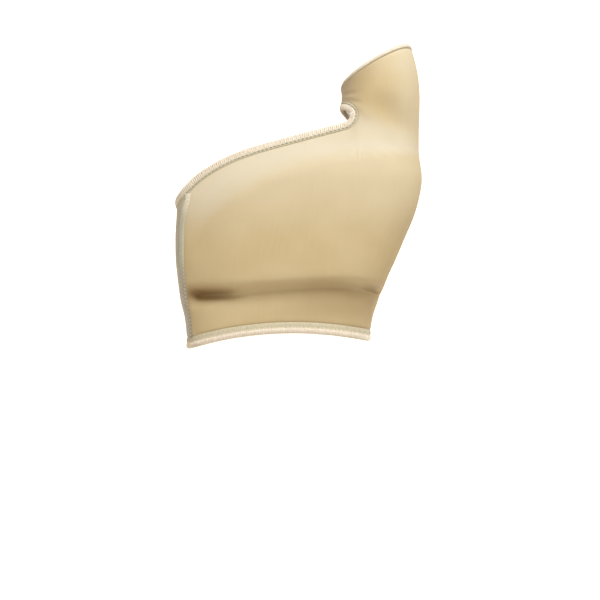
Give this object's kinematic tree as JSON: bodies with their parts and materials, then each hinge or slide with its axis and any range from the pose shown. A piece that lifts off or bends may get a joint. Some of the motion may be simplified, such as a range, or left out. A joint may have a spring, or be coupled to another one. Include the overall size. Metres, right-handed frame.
{
  "type": "bunion protector",
  "caption": "Knitted half-foot sleeve with a big-toe tube, a slanting opening for the other toes and a gel pad under the ball, in the form it has when worn.",
  "frame": {"origin": "middle of the rear opening, level with the lowest edge of its hem, where the foot goes in", "axes": "+Z along the foot towards the toes, +X towards the big-toe side, -Y out of the sole and +Y out of the instep"},
  "size_m": [0.1018, 0.0641, 0.1251],
  "materials": {
    "knit": "fine smooth beige jersey with a faint sheen",
    "thread": "dull cream overlock thread",
    "gel": "soft translucent gel"
  },
  "bodies": {
    "root": {"sleeve": "knit", "ball_pad": "gel", "rear_hem": "thread", "toe_opening_hem": "thread", "big_toe_hem": "knit", "side_seam": "thread"}
  },
  "joints": []
}
